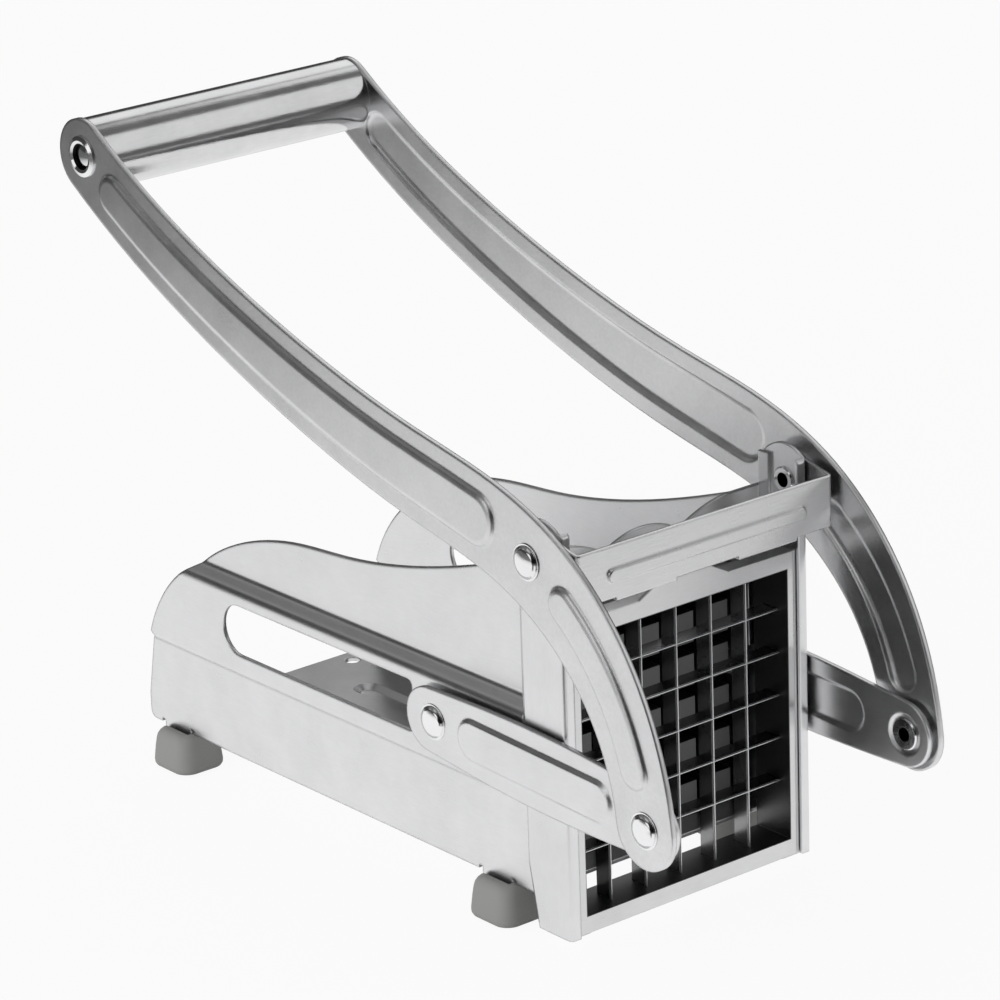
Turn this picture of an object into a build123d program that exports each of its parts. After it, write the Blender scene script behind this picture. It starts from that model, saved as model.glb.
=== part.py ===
"""Lever french fry cutter in pressed stainless sheet.

A trough of two side plates and a floor carries a blade cassette at its front.
Two pressed arms swing on ears above the cassette and drive, through two links
and a cross rod, a block of fingers that pushes the potato through the blades.

Millimetres.  x = 0 is the middle plane, z = 0 is the table, and y = 0 is the
plane of the blades' front edges; the trough runs towards +y.  Every node is
moved along y as it is written, so that the origin lies under the middle of
the whole cutter.
"""
from build123d import *
import math
import os

os.makedirs("parts", exist_ok=True)

# ---- blade grid ------------------------------------------------------------
CELLS = 6  # cells each way
CELL = 12.7  # clear width of a cell
BLADE_T = 0.3
BLADE_DEPTH = 6.3
BLADE_GRIP = 1.0  # how far a blade's end goes into the cassette
BLADE_SLIT_GAP = 0.1  # clearance of a blade in its slits
BLADE_BEVEL = 1.0  # depth of the ground edge at the front
PITCH = CELL + BLADE_T

# ---- fits and gauges -------------------------------------------------------
GAP = 0.3  # between pieces that move past each other
RUN = 0.05  # radial clearance of a running pin
FACE_GAP = 0.1  # between flat faces that turn on each other
PAST = 1.0  # how far a cutter runs past the face it cuts
BEND_R = 2.0  # inside radius of the large bends
CORNER_R = 0.4  # inside radius of the tight bends
SIDE_GAUGE = 1.2
COLUMN_GAUGE = 1.0
LINK_GAUGE = 1.4
ARM_GAUGE = 1.6
BAIL_GAUGE = 1.0
FLOOR_GAUGE = 1.2
HOOD_GAUGE = 1.2
CARRIAGE_GAUGE = 1.4

# ---- across the cutter (half widths) ---------------------------------------
RING_TRIM = 0.7  # the outer cells are this much narrower
RING_SIDE = 2.3  # cassette side wall
JOGGLE = 4.4  # step between the side plate's lower and upper wall
NYLON_T = 0.5  # washer between a column's ear and the bail
LINK_CLEAR = 0.8  # column face to link
ARM_CLEAR = 1.25  # link to arm, filled by the washer
RING_IN = CELLS * PITCH / 2 - RING_TRIM
RING_OUT = RING_IN + RING_SIDE
UPPER_IN = RING_IN + GAP
UPPER_OUT = UPPER_IN + SIDE_GAUGE
SIDE_IN = UPPER_IN + JOGGLE
SIDE_OUT = SIDE_IN + SIDE_GAUGE
COLUMN_OUT = SIDE_OUT + COLUMN_GAUGE
BAIL_IN = COLUMN_OUT + NYLON_T + FACE_GAP
BAIL_OUT = BAIL_IN + BAIL_GAUGE
LINK_IN = COLUMN_OUT + LINK_CLEAR
LINK_OUT = LINK_IN + LINK_GAUGE
ARM_IN = LINK_OUT + ARM_CLEAR
ARM_OUT = ARM_IN + ARM_GAUGE

# ---- heights ---------------------------------------------------------------
FLOOR_Z = 12.0  # underside of the floor and of the side plates
FLOOR_TOP = FLOOR_Z + FLOOR_GAUGE
LOW_BLADE_Z = FLOOR_TOP + CELL - 0.6
RING_BAR = 5.2  # height of the cassette's top and bottom bars
RING_IN_TOP = LOW_BLADE_Z + (CELLS - 1) * PITCH
RING_IN_LOW = FLOOR_Z - 3.8
RING_TOP = RING_IN_TOP + RING_BAR
RING_LOW = RING_IN_LOW - RING_BAR

# ---- trough ----------------------------------------------------------------
TROUGH_REAR = 193.6
SIDE_FRONT = -2.4
JOGGLE_Z = 64.8  # where the lower wall's and the slope's outer faces meet
JOGGLE_RISE = 3.0
FRONT_STRIP_Z = JOGGLE_Z - 2.0  # top of the wall's part inside the column
CREASE_Z = 39.3  # fine crease along the lower wall
CREASE_HALF = 0.6
CREASE_DEPTH = 0.2
REAR_CORNER_R = 2.5
REAR_EASE_Z = 20.0  # from here up the rear edge leans in to the step
REAR_LEAN = 3.8
REAR_STEP = 1.6  # the rear round stands out this far above the crease
REAR_STEP_RISE = 1.4
REAR_BULGE = 3.2  # of the rear round, off its chord
SHOULDER_Z = 67.6  # where the rear round runs into the crest
SHOULDER_BACK = 25.4  # how far that is from the rear edge
# crest of the upper wall, from the shoulder on: (before the rear edge, z)
CREST = ((32.9, 72.8), (52.1, 81.2), (72.2, 85.6), (96.0, 87.7), (121.5, 91.8))
CREST_RISE = (24.2, 101.1)  # where it turns up: (behind the hood, z)
CREST_FRONT_Z = 109.6
SLOT_FRONT = 63.4
SLOT_REAR = 153.5
SLOT_HALF = 7.9
SLOT_CORNER = 2.0
FLOOR_FRONT = 11.5
FLOOR_REAR = TROUGH_REAR - 3.1
GUIDE_RUN = 2.0  # how far the rod's guide reaches into the slot
BEAD_X = 15.5
BEAD_HALF = 4.4
BEAD_DEPTH = 1.6
BEAD_TAPER = 52
BEAD_REAR = TROUGH_REAR - 26.6
BEAD_FRONT = 40.0
DRAIN_X = 26.5
DRAIN_Y = TROUGH_REAR - 9.3
DRAIN_R = 2.4

# ---- columns, hood and cassette --------------------------------------------
COLUMN_FRONT = -5.0
COLUMN_REAR = 12.5
COLUMN_LOW = 2.8
COLUMN_TOE = 8.8  # rear edge at the toe
COLUMN_TOE_Z = 21.7
COLUMN_LIP = 3.5  # width of the lip folded in at the front
EAR_R = 10.8
HOOD_Y = 12.9
HOOD_LOW = 92.0
HOOD_TAB_TOP = 120.5
HOOD_TAB = 4.2
HOOD_CROWN_Z = 108.6
HOOD_DIP_Z = 104.7
HOOD_DIP_X = 13.7
HOOD_WING_Z = 110.4
HOOD_WING_X = 31.0
HOOD_RAMP = (8.0, 3.6)  # a point on the way from the dip to the wing: (across, up)
RING_FRONT = -3.8
RING_DEPTH = 14.2
RING_GAUGE = 1.0
RING_TAB_TOP = 10.0
RING_TAB_BASE = 16.5
RING_TAB_RISE = 3.4
RING_WINDOW = (15.0, 31.0)
RING_WINDOW_FRONT = 1.5
WING_ROOT = 0.5
WING_REACH = 3.1
REST_T = 1.0
REST_REACH = 8.0
REST_DEPTH = 9.0
REST_RISE = 7.0

# ---- pivots: (y, z) --------------------------------------------------------
PIVOT_Y = 3.2
PIVOT_Z = 113.9
JOINT_Y = -42.5
JOINT_Z = 49.7
ROD_Y = 50.3
ROD_Z = 53.0
HANDLE_Y = 202.8
HANDLE_Z = 188.5
PIN_R = 3.0
ROD_R = 3.5
HEAD_R = 4.7
HEAD_RISE = 1.5
SKIRT_R = 5.3  # thin rim under a head
SKIRT_T = 0.25
HOLLOW_R = 2.1  # bore in a rivet's rolled end
HOLLOW_LONG = 2.2
PIVOT_TAIL_R = 3.8
PIVOT_TAIL_T = 0.7
JOINT_TAIL_R = 4.7
JOINT_TAIL_PROUD = 0.2
DISH_R = 6.3  # dish in the link round the joint rivet's end
DISH_FLOOR_R = 5.2
DISH_DEPTH = 0.5
SPACER_R = 7.6  # spacers and washers at the pivots
NYLON_R = 6.2

# ---- lever arms ------------------------------------------------------------
# bows of the centre line: (share of the way between two pivots, offset)
LONG_BOW = ((0.21, 7.7), (0.39, 9.7), (0.58, 8.8), (0.76, 4.9))
SHORT_BOW = ((0.25, -7.9), (0.53, -10.4), (0.81, -6.5))
ARM_END_HALF = 11.4
ARM_PIVOT_HALF = 13.5
RIB_MARGIN = 5.2
RIB_RISE = 1.2
RIB_SLOPE = 1.9
RIB_SHOULDER = (0.35, 0.7)  # of the slope and of the rise, where a rib rounds over
SHORT_RIB_HALF = 5.5
RIB_TO_HANDLE = 17.0
RIB_TO_PIVOT = 22.4
SHORT_RIB_TO_PIVOT = 17.0
SHORT_RIB_TO_JOINT = 16.5
TUBE_R = 11.0
TUBE_WALL = 1.2
PLUG_BORE_R = 3.7
PLUG_NECK_R = 4.9
PLUG_FLARE_R = 6.2
PLUG_FLARE_T = 0.5
PLUG_ROLL = 1.0  # height of the rolled lip over the arm
PLUG_LENGTH = 8.0

# ---- links -----------------------------------------------------------------
LINK_TAIL = 2.0  # the rear end's round is centred this far behind the rod
LINK_END_HALF = 9.7
LINK_MID_HALF = 11.7
LINK_RIB_HALF = 6.5
LINK_RIB_RISE = 0.9
RIB_TAPER = 52
LINK_RIB_TO_ROD = 17.5
LINK_RIB_TO_JOINT = 22.5

# ---- latch bail ------------------------------------------------------------
BAIL_LOW = 103.9
BAIL_HEIGHT = 14.8
BAIL_FRONT = -13.8
BAIL_EAR_R = 8.5
BAIL_LIP = 3.2
BAIL_LIP_X = (11.4, 33.1)
BAIL_RIB_DROP = 0.8  # below the strap's middle
BAIL_RIB_HALF = 2.1
BAIL_RIB_X = 36.5
BAIL_RIB_RISE = 0.9
BAIL_RIB_TAPER = 30

# ---- pusher ----------------------------------------------------------------
FINGER_W = 10.8
FINGER_H = 9.6
FINGER_L = 16.0
FINGER_DRAFT = 0.4
FINGER_DROP = 0.5
TIP_Y = 21.0
PUSH_FORWARD = 24.0  # how far the rod goes forward of rest
BLOCK_T = 8.0
BLOCK_INSET = 0.1
BLOCK_RISE = 1.5  # above the top fingers
CARRIAGE_LOW = 16.0
CARRIAGE_TOP = 63.5
CARRIAGE_NECK = 34.0
CARRIAGE_NECK_TOP = 84.0
CARRIAGE_LONG = 14.5
SCREW_X = 26.0
SCREW_Z = (30.0, 76.0)
SCREW_HEAD_R = 3.4
SCREW_HEAD_T = 2.0
SCREW_R = 1.6
SCREW_DEEP = 6.0  # of the hole in the block
SCREW_SHORT = 1.0  # the screw's tip ends this far before the hole's end
COLLAR_R = 7.5
COLLAR_T = 1.0

# ---- feet ------------------------------------------------------------------
FOOT_Y = (26.5, TROUGH_REAR - 15.1)
FOOT_LONG = 18.4
FOOT_WIDE = 17.0
FOOT_OUT = 50.4  # outer side of a foot
FOOT_CORNER = 4.6
FOOT_SHOULDER = 1.8
FOOT_TAB = 13.0
FOOT_TAB_BACK = 1.4  # the tab's middle lies this far behind the foot's
FOOT_TAB_DROP = 6.0
FOOT_SLIT_WIDE = 1.3  # the slit is this much wider than the tab, outwards
NOTCH_WIDE = 1.6  # reliefs in the plate's edge beside a tab
NOTCH_HIGH = 1.1

# the origin is put under the middle of the box, from the arms' noses to the grip
CENTRE_Y = ((JOINT_Y - ARM_END_HALF) + (HANDLE_Y + ARM_END_HALF)) / 2


# ---- helpers ---------------------------------------------------------------
def save(node, *solids):
    """Writes one node, moved so that the origin lies under the middle."""
    moved = [Pos(0, -CENTRE_Y, 0) * solid for solid in solids]
    export_step(moved[0] if len(moved) == 1 else Compound(moved), f"parts/{node}.step")


def save_pair(node, solid):
    """Writes a right-hand piece and its mirror image as two nodes."""
    save(f"{node}_right", solid)
    save(f"{node}_left", mirror(solid, about=Plane.YZ))


def box(x, y, z):
    """A box from its (low, high) spans along x, y and z."""
    size = [high - low for low, high in (x, y, z)]
    return Pos(x[0], y[0], z[0]) * Box(*size, align=(Align.MIN, Align.MIN, Align.MIN))


def sheet(outline, inner, outer):
    """A (y, z) outline made solid from x = inner to x = outer."""
    return extrude(Plane.YZ.offset(inner) * outline, amount=outer - inner)


def bore(y, z, radius, inner, outer):
    """A cutter along x that runs past both faces."""
    return sheet(Pos(y, z) * Circle(radius), inner - PAST, outer + PAST)


def turned(y, z, *edges):
    """A solid turned about the x direction through (y, z) from (radius, x) edges."""
    profile = Plane.XZ * make_face(Curve() + list(edges))
    return Pos(0, y, z) * Rot(0, 90, 0) * revolve(profile, Axis.Z)


def ring(y, z, bore_r, outer_r, inner, outer):
    """A flat ring about the x direction."""
    return sheet(Pos(y, z) * (Circle(outer_r) - Circle(bore_r)), inner, outer)


def rivet(y, z, inner, outer, tail_r=0.0, tail=0.0):
    """A rivet with a domed head on the outer face; a tail is rolled and hollow."""
    skirt = outer + SKIRT_T
    rim = outer + HEAD_RISE * 0.4
    top = outer + HEAD_RISE
    foot = [(0, inner)]
    if tail:
        bottom = inner - tail + HOLLOW_LONG
        foot = [
            (0, bottom), (HOLLOW_R, bottom), (HOLLOW_R, inner - tail),
            (tail_r - tail / 2, inner - tail), (tail_r, inner - tail / 2), (tail_r, inner),
        ]
    shank = Polyline(
        *foot, (PIN_R, inner), (PIN_R, outer), (SKIRT_R, outer), (SKIRT_R, skirt),
        (HEAD_R, skirt), (HEAD_R, rim),
    )
    crown_r = (HEAD_R ** 2 + (top - rim) ** 2) / (2 * (top - rim))
    half_turn = math.asin(HEAD_R / crown_r) / 2
    middle = (crown_r * math.sin(half_turn), top - crown_r * (1 - math.cos(half_turn)))
    dome = ThreePointArc((HEAD_R, rim), middle, (0, top))
    return turned(y, z, shank, dome, Line((0, top), foot[0]))


def bent(section, inner, outer, gauge):
    """Rounds a sheet section's bend at its inner and its outer corner."""
    for corner, radius in ((inner, CORNER_R), (outer, CORNER_R + gauge)):
        section = fillet(section.vertices().sort_by_distance((*corner, 0))[0], radius)
    return section


def band(curve, start, end, half_width, stations=8):
    """A strip about a curve with round ends; start and end are shares of it."""
    left, right = [], []
    for i in range(stations + 1):
        at = start + (end - start) * i / stations
        along = curve % at
        across = Vector(-along.Y, along.X) * half_width(at)
        left.append(curve @ at + across)
        right.append(curve @ at - across)
    nose = curve @ end + (curve % end) * half_width(end)
    heel = curve @ start - (curve % start) * half_width(start)
    outline = Curve() + [
        Spline(left),
        ThreePointArc(left[-1], nose, right[-1]),
        Spline(right[::-1]),
        ThreePointArc(right[0], heel, left[0]),
    ]
    return make_face(outline)


def pressed_rib(curve, start, end, half_width, face, rise, slope):
    """The raised shape of a rib: a strip on x = face that rounds over as it rises."""
    sections = []
    for inset, lift in ((0, 0), RIB_SHOULDER, (1, 1)):
        strip = band(curve, start, end, lambda at: half_width(at) - slope * inset)
        sections.append(Plane.YZ.offset(face + rise * lift) * strip)
    return loft(sections, ruled=True)


def press(plate, rib, gauge):
    """Presses a rib out of a plate, so the wall keeps its gauge."""
    return plate + rib - Pos(-gauge, 0, 0) * rib


# ---- trough ----------------------------------------------------------------
def tab_span(foot_y):
    """The span along y of the side plate's tab that goes into a foot."""
    middle = foot_y + FOOT_TAB_BACK
    return middle - FOOT_TAB / 2, middle + FOOT_TAB / 2


def side_plate():
    """The right-hand wall: a joggled strip cut to the side view's outline."""
    low, high = JOGGLE_Z, JOGGLE_Z + JOGGLE_RISE
    # the inner faces' corners lie where the slope keeps the wall's gauge
    slope_len = math.hypot(JOGGLE, JOGGLE_RISE)
    shift = SIDE_GAUGE * (slope_len - JOGGLE_RISE) / JOGGLE
    top = HOOD_WING_Z + PAST
    section = make_face(Polyline(
        (SIDE_OUT, 0), (SIDE_OUT, low), (UPPER_OUT, high), (UPPER_OUT, top),
        (UPPER_IN, top), (UPPER_IN, high - shift), (SIDE_IN, low - shift), (SIDE_IN, 0),
        (SIDE_OUT, 0),
    ))
    tight = [(UPPER_OUT, high), (SIDE_IN, low - shift)]
    wide = [(SIDE_OUT, low), (UPPER_IN, high - shift)]
    for corners, radius in ((tight, BEND_R), (wide, BEND_R + SIDE_GAUGE)):
        found = [section.vertices().sort_by_distance((*corner, 0))[0] for corner in corners]
        section = fillet(found, radius)
    section -= make_face(Polyline(
        (SIDE_OUT, CREASE_Z - CREASE_HALF), (SIDE_OUT - CREASE_DEPTH, CREASE_Z),
        (SIDE_OUT, CREASE_Z + CREASE_HALF), (SIDE_OUT, CREASE_Z - CREASE_HALF),
    ))
    strip = extrude(
        Plane.XZ.offset(-TROUGH_REAR - PAST) * section,
        amount=TROUGH_REAR - SIDE_FRONT + 2 * PAST,
    )
    step = (TROUGH_REAR - REAR_LEAN, CREASE_Z)
    round_foot = (step[0] + REAR_STEP, CREASE_Z + REAR_STEP_RISE)
    shoulder = (TROUGH_REAR - SHOULDER_BACK, SHOULDER_Z)
    round_middle = bowed(Vector(*round_foot), Vector(*shoulder), [(0.5, -REAR_BULGE)])[0]
    upper_front = HOOD_Y + HOOD_GAUGE
    crest = [(TROUGH_REAR - back, z) for back, z in CREST]
    crest.append((upper_front + CREST_RISE[0], CREST_RISE[1]))
    corner = (TROUGH_REAR, FLOOR_Z)
    outline = make_face(Curve() + [
        Polyline(
            (upper_front, CREST_FRONT_Z), (upper_front, FRONT_STRIP_Z),
            (SIDE_FRONT, FRONT_STRIP_Z), (SIDE_FRONT, FLOOR_Z), corner,
            (TROUGH_REAR, REAR_EASE_Z), step, round_foot,
        ),
        ThreePointArc(round_foot, round_middle, shoulder),
        Spline(shoulder, *crest, (upper_front, CREST_FRONT_Z)),
    ])
    outline = fillet(outline.vertices().sort_by_distance((*corner, 0))[0], REAR_CORNER_R)
    plate = strip & sheet(outline, UPPER_IN - PAST, SIDE_OUT + PAST)
    for y in FOOT_Y:
        low, high = tab_span(y)
        plate += box((SIDE_IN, SIDE_OUT), (low, high), (FLOOR_Z - FOOT_TAB_DROP, FLOOR_Z))
        for start in (low - NOTCH_WIDE, high):
            plate -= box(
                (SIDE_IN - PAST, SIDE_OUT + PAST), (start, start + NOTCH_WIDE),
                (FLOOR_Z - PAST, FLOOR_Z + NOTCH_HIGH),
            )
    window = sheet(
        Pos(0, ROD_Z) * make_face(Curve() + [
            Line((SLOT_REAR - SLOT_HALF, SLOT_HALF), (SLOT_FRONT, SLOT_HALF)),
            Line((SLOT_FRONT, SLOT_HALF), (SLOT_FRONT, -SLOT_HALF)),
            Line((SLOT_FRONT, -SLOT_HALF), (SLOT_REAR - SLOT_HALF, -SLOT_HALF)),
            ThreePointArc(
                (SLOT_REAR - SLOT_HALF, -SLOT_HALF), (SLOT_REAR, 0),
                (SLOT_REAR - SLOT_HALF, SLOT_HALF),
            ),
        ]), SIDE_IN - PAST, SIDE_OUT + PAST,
    )
    window = fillet(window.edges().filter_by(Axis.X).group_by(Axis.Y)[0], SLOT_CORNER)
    guide_half = ROD_R + GAP
    guide_front = ROD_Y - PUSH_FORWARD - guide_half
    guide_rear = SLOT_FRONT + GUIDE_RUN
    guide = sheet(
        Pos((guide_front + guide_rear) / 2, ROD_Z)
        * SlotOverall(guide_rear - guide_front, guide_half * 2),
        SIDE_IN - PAST, SIDE_OUT + PAST,
    )
    return plate - window - guide


def floor_plate():
    """The trough's floor with two beads pressed down and two drain holes."""
    plate = box((-SIDE_IN, SIDE_IN), (FLOOR_FRONT, FLOOR_REAR), (FLOOR_Z, FLOOR_TOP))
    length = BEAD_REAR - BEAD_FRONT
    for side in (-1, 1):
        middle = (side * BEAD_X, (BEAD_REAR + BEAD_FRONT) / 2)
        trough = Pos(*middle, FLOOR_TOP) * SlotOverall(length, BEAD_HALF * 2, rotation=90)
        bead = extrude(trough, amount=-BEAD_DEPTH, taper=BEAD_TAPER)
        plate = plate + Pos(0, 0, -FLOOR_GAUGE) * bead - bead
        drain = Pos(side * DRAIN_X, DRAIN_Y, FLOOR_Z - PAST) * Circle(DRAIN_R)
        plate -= extrude(drain, amount=FLOOR_GAUGE + 2 * PAST)
    return plate


def foot(y):
    """A soft-cornered rubber block with a slit for the side plate's tab."""
    x = FOOT_OUT - FOOT_WIDE / 2
    plan = Pos(x, y) * RectangleRounded(FOOT_WIDE, FOOT_LONG, FOOT_CORNER)
    block = extrude(plan, amount=FLOOR_Z)
    block = chamfer(block.edges().group_by(Axis.Z)[-1], FOOT_SHOULDER)
    low, high = tab_span(y)
    slit = box(
        (SIDE_IN - RUN, SIDE_OUT + FOOT_SLIT_WIDE), (low - RUN, high + RUN),
        (FLOOR_Z - FOOT_TAB_DROP - RUN, FLOOR_Z + PAST),
    )
    return block - slit


# ---- front -----------------------------------------------------------------
def column():
    """The sheet over the side plate's front end, with the pivot ear on top."""
    lip_in = COLUMN_OUT - COLUMN_LIP
    section = make_face(Polyline(
        (COLUMN_OUT, COLUMN_FRONT), (COLUMN_OUT, COLUMN_REAR + PAST),
        (SIDE_OUT, COLUMN_REAR + PAST), (SIDE_OUT, COLUMN_FRONT + COLUMN_GAUGE),
        (lip_in, COLUMN_FRONT + COLUMN_GAUGE), (lip_in, COLUMN_FRONT),
        (COLUMN_OUT, COLUMN_FRONT),
    ))
    inner_front = COLUMN_FRONT + COLUMN_GAUGE
    section = bent(section, (SIDE_OUT, inner_front), (COLUMN_OUT, COLUMN_FRONT), COLUMN_GAUGE)
    strip = extrude(section, amount=PIVOT_Z + EAR_R + PAST)
    front_top = PIVOT_Z + math.sqrt(EAR_R ** 2 - (PIVOT_Y - COLUMN_FRONT) ** 2)
    rear_top = PIVOT_Z + math.sqrt(EAR_R ** 2 - (COLUMN_REAR - PIVOT_Y) ** 2)
    outline = make_face(Curve() + [
        Polyline(
            (COLUMN_FRONT, front_top), (COLUMN_FRONT, COLUMN_LOW), (COLUMN_TOE, COLUMN_LOW),
            (COLUMN_REAR, COLUMN_TOE_Z), (COLUMN_REAR, rear_top),
        ),
        ThreePointArc(
            (COLUMN_REAR, rear_top), (PIVOT_Y, PIVOT_Z + EAR_R), (COLUMN_FRONT, front_top)
        ),
    ])
    plate = strip & sheet(outline, lip_in - PAST, COLUMN_OUT + PAST)
    return plate - bore(PIVOT_Y, PIVOT_Z, PIN_R + RUN, SIDE_OUT, COLUMN_OUT)


def hood():
    """The sheet that ties the columns, with a round crown, two legs and two tabs."""
    right = [
        Line((SIDE_OUT, HOOD_LOW), (SIDE_OUT, HOOD_WING_Z)),
        Line((SIDE_OUT, HOOD_WING_Z), (HOOD_WING_X, HOOD_WING_Z)),
        Spline((HOOD_WING_X, HOOD_WING_Z),
               (HOOD_DIP_X + HOOD_RAMP[0], HOOD_DIP_Z + HOOD_RAMP[1]),
               (HOOD_DIP_X, HOOD_DIP_Z)),
    ]
    left = [mirror(edge, about=Plane.YZ) for edge in right]
    crown = ThreePointArc(
        (-HOOD_DIP_X, HOOD_DIP_Z), (0, HOOD_CROWN_Z), (HOOD_DIP_X, HOOD_DIP_Z)
    )
    base = Line((-SIDE_OUT, HOOD_LOW), (SIDE_OUT, HOOD_LOW))
    face = make_face(Curve() + [base, crown] + right + left)
    wall = extrude(Plane.XZ.offset(-HOOD_Y - HOOD_GAUGE) * face, amount=HOOD_GAUGE)
    for side in (-1, 1):
        leg = sorted((side * UPPER_IN, side * SIDE_OUT))
        wall += box(leg, (HOOD_Y, HOOD_Y + HOOD_GAUGE), (FRONT_STRIP_Z, HOOD_LOW))
        tab = sorted((side * (SIDE_OUT - COLUMN_GAUGE), side * SIDE_OUT))
        wall += box(tab, (HOOD_Y - HOOD_TAB, HOOD_Y), (HOOD_LOW, HOOD_TAB_TOP))
    return wall


def grid_lines():
    """Places of the blades, from the middle of the grid."""
    return [(i - CELLS / 2) * PITCH for i in range(1, CELLS)]


def blade_rows():
    """Heights of the horizontal blades."""
    return [LOW_BLADE_Z + i * PITCH for i in range(CELLS - 1)]


def cassette_frame():
    """The square ring that holds the blades, with guide wings and a lifting tab."""
    rear = RING_FRONT + RING_DEPTH
    frame = box((-RING_OUT, RING_OUT), (RING_FRONT, rear), (RING_LOW, RING_TOP))
    frame -= box(
        (-RING_IN, RING_IN), (RING_FRONT - PAST, rear + PAST), (RING_IN_LOW, RING_IN_TOP)
    )
    inside = RING_OUT - 2 * RING_SIDE
    for low in (RING_LOW, RING_IN_TOP):
        frame -= box(
            (-inside, inside), (RING_FRONT + RING_GAUGE, rear + PAST),
            (low + RING_GAUGE, low + RING_BAR - RING_GAUGE),
        )
    window_low, window_high = RING_WINDOW
    for side in (-1, 1):
        span = sorted((side * window_low, side * window_high))
        frame -= box(
            span, (RING_WINDOW_FRONT, rear + PAST),
            (RING_TOP - RING_BAR / 2, RING_TOP + PAST),
        )
        wing = sorted((side * (RING_OUT - WING_ROOT), side * (RING_OUT + WING_REACH)))
        wing_y = COLUMN_FRONT + COLUMN_GAUGE + GAP
        frame += box(wing, (wing_y, wing_y + RING_GAUGE), (RING_LOW, RING_TOP))
    tab = make_face(Polyline(
        (-RING_TAB_BASE, RING_TOP), (-RING_TAB_TOP, RING_TOP + RING_TAB_RISE),
        (RING_TAB_TOP, RING_TOP + RING_TAB_RISE), (RING_TAB_BASE, RING_TOP),
        (RING_TAB_BASE, RING_TOP - RING_GAUGE), (-RING_TAB_BASE, RING_TOP - RING_GAUGE),
        (-RING_TAB_BASE, RING_TOP),
    ))
    frame += extrude(Plane.XZ.offset(-RING_FRONT - RING_GAUGE) * tab, amount=RING_GAUGE)
    slit = BLADE_T / 2 + BLADE_SLIT_GAP
    slit_y = (-BLADE_SLIT_GAP, BLADE_DEPTH + BLADE_SLIT_GAP)
    deep = BLADE_GRIP + BLADE_SLIT_GAP
    for x in grid_lines():
        frame -= box((x - slit, x + slit), slit_y, (RING_IN_LOW - deep, RING_IN_TOP + deep))
    for z in blade_rows():
        frame -= box((-RING_IN - deep, RING_IN + deep), slit_y, (z - slit, z + slit))
    return frame


def blade(low, high, crossings, notch_front):
    """A strip along z with a ground edge at y = 0 and half-depth notches."""
    half = BLADE_T / 2
    section = make_face(Polyline(
        (0, 0), (half, BLADE_BEVEL), (half, BLADE_DEPTH), (-half, BLADE_DEPTH),
        (-half, BLADE_BEVEL), (0, 0),
    ))
    strip = extrude(Plane.XY.offset(low) * section, amount=high - low)
    middle = BLADE_DEPTH / 2
    deep = (-PAST, middle) if notch_front else (middle, BLADE_DEPTH + PAST)
    for place in crossings:
        slit = BLADE_T / 2 + BLADE_SLIT_GAP
        strip -= box((-PAST, PAST), deep, (place - slit, place + slit))
    return strip


def vertical_blades():
    """Blades that stand, notched from behind where the others cross them."""
    strip = blade(RING_IN_LOW - BLADE_GRIP, RING_IN_TOP + BLADE_GRIP, blade_rows(), False)
    return [Pos(x, 0, 0) * strip for x in grid_lines()]


def horizontal_blades():
    """Blades that lie across, notched from the front."""
    reach = RING_IN + BLADE_GRIP
    strip = Rot(0, 90, 0) * blade(-reach, reach, grid_lines(), True)
    return [Pos(0, 0, z) * strip for z in blade_rows()]


def cassette_rest():
    """The bracket on a column's inner face that the cassette stands on."""
    depth = (SIDE_FRONT, SIDE_FRONT + REST_DEPTH)
    top = RING_LOW
    ledge = box((SIDE_OUT - REST_REACH, SIDE_OUT), depth, (top - REST_T, top))
    return ledge + box((SIDE_OUT - REST_T, SIDE_OUT), depth, (top - REST_T, top + REST_RISE))


# ---- lever -----------------------------------------------------------------
def bowed(start, end, bows):
    """Points between two pivots, each set off the straight line by its bow."""
    run = end - start
    across = Vector(-run.Y, run.X).normalized()
    return [start + run * share + across * bow for share, bow in bows]


def arm_curve():
    """The arm's centre line, from the grip over the pivot to the joint."""
    grip, pivot = Vector(HANDLE_Y, HANDLE_Z), Vector(PIVOT_Y, PIVOT_Z)
    joint = Vector(JOINT_Y, JOINT_Z)
    return Spline(
        [grip] + bowed(grip, pivot, LONG_BOW) + [pivot]
        + bowed(pivot, joint, SHORT_BOW) + [joint]
    )


def arm():
    """A lever arm: a swept strip with a long and a short rib pressed outwards."""
    curve = arm_curve()
    pivot_at = curve.param_at_point(Vector(PIVOT_Y, PIVOT_Z))

    def share(length):
        return length / curve.length

    def arm_half(at):
        """Half the arm's width, which swells from its round ends to the pivot."""
        way = at / pivot_at if at < pivot_at else (1 - at) / (1 - pivot_at)
        swell = math.sin(math.pi / 2 * max(0.0, way)) ** 2
        return ARM_END_HALF + (ARM_PIVOT_HALF - ARM_END_HALF) * swell

    plate = sheet(band(curve, 0, 1, arm_half, 16), ARM_IN, ARM_OUT)
    long_rib = pressed_rib(
        curve, share(RIB_TO_HANDLE), pivot_at - share(RIB_TO_PIVOT),
        lambda at: arm_half(at) - RIB_MARGIN, ARM_OUT, RIB_RISE, RIB_SLOPE,
    )
    short_rib = pressed_rib(
        curve, pivot_at + share(SHORT_RIB_TO_PIVOT), 1 - share(SHORT_RIB_TO_JOINT),
        lambda at: SHORT_RIB_HALF, ARM_OUT, RIB_RISE, RIB_SLOPE,
    )
    plate = press(press(plate, long_rib, ARM_GAUGE), short_rib, ARM_GAUGE)
    for y, z, radius in (
        (PIVOT_Y, PIVOT_Z, PIN_R + RUN), (JOINT_Y, JOINT_Z, PIN_R),
        (HANDLE_Y, HANDLE_Z, PLUG_NECK_R),
    ):
        plate -= bore(y, z, radius, ARM_IN, ARM_OUT + RIB_RISE)
    return plate


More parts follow.
